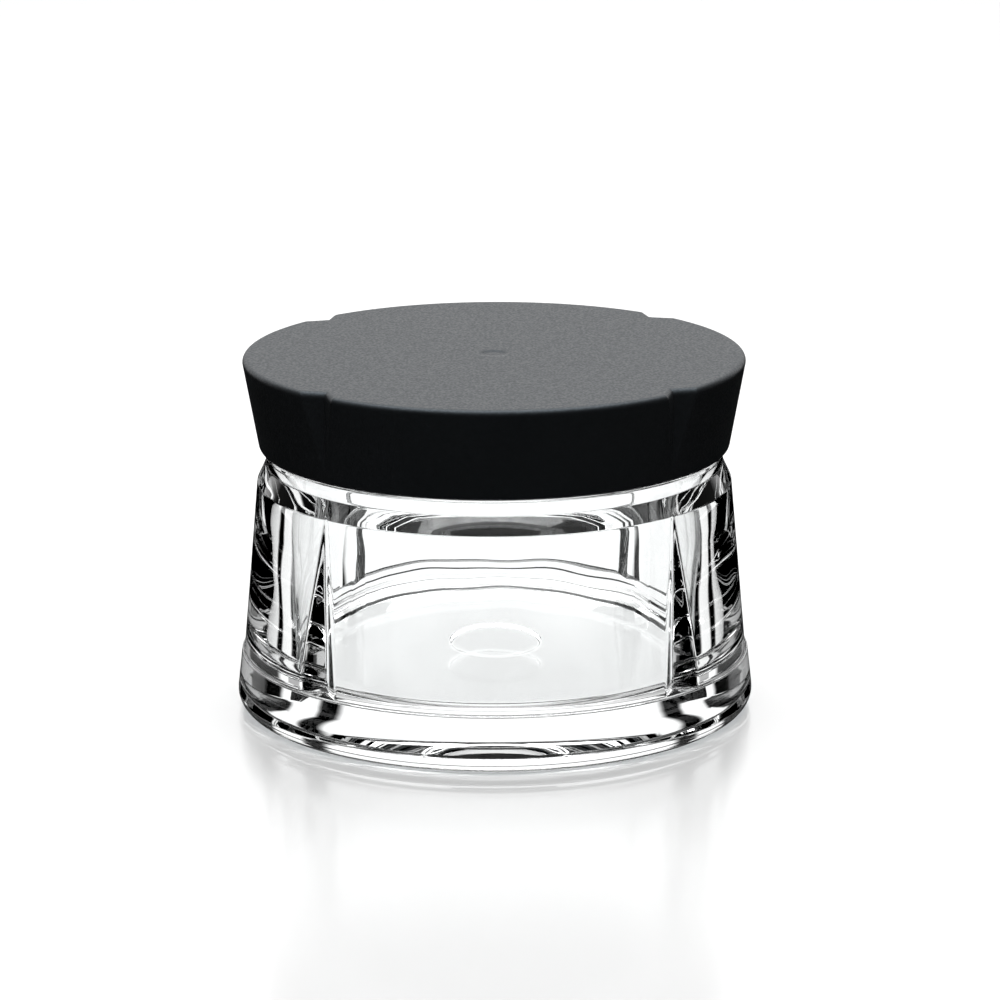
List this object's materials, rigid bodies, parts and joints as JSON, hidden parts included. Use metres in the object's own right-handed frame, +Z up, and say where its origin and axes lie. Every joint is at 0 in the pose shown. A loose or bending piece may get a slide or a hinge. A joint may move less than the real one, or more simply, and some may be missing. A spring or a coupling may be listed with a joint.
{
  "type": "lidded glass jar",
  "caption": "Squat round glass jar with a plain base ring, a flared body with upright V-grooves, and a flared matte plastic press-on lid with a lip seal.",
  "frame": {"origin": "centre of the foot, on the surface that the jar stands on", "axes": "+Z up along the jar's axis; the four grooves lie on the diagonals between X and Y"},
  "size_m": [0.1038, 0.1038, 0.0716],
  "materials": {
    "clear_glass": "clear, polished",
    "lid_plastic": "fine spark-eroded grain",
    "insert_plastic": "satin",
    "seal_silicone": "smooth silicone"
  },
  "bodies": {
    "jar": {"jar_body": "clear_glass"},
    "seal": {"seal_ring": "seal_silicone"},
    "lid": {"lid_cap": "lid_plastic", "lid_insert": "insert_plastic"}
  },
  "joints": [
    {"name": "lid_lift", "type": "slide", "parent": "jar", "child": "seal", "axis": [0, 0, 1], "range_m": [0, 0.06]},
    {"name": "lid_turn", "type": "hinge", "parent": "seal", "child": "lid", "pos_m": [0, 0, 0.058], "axis": [0, 0, 1], "continuous": true}
  ]
}
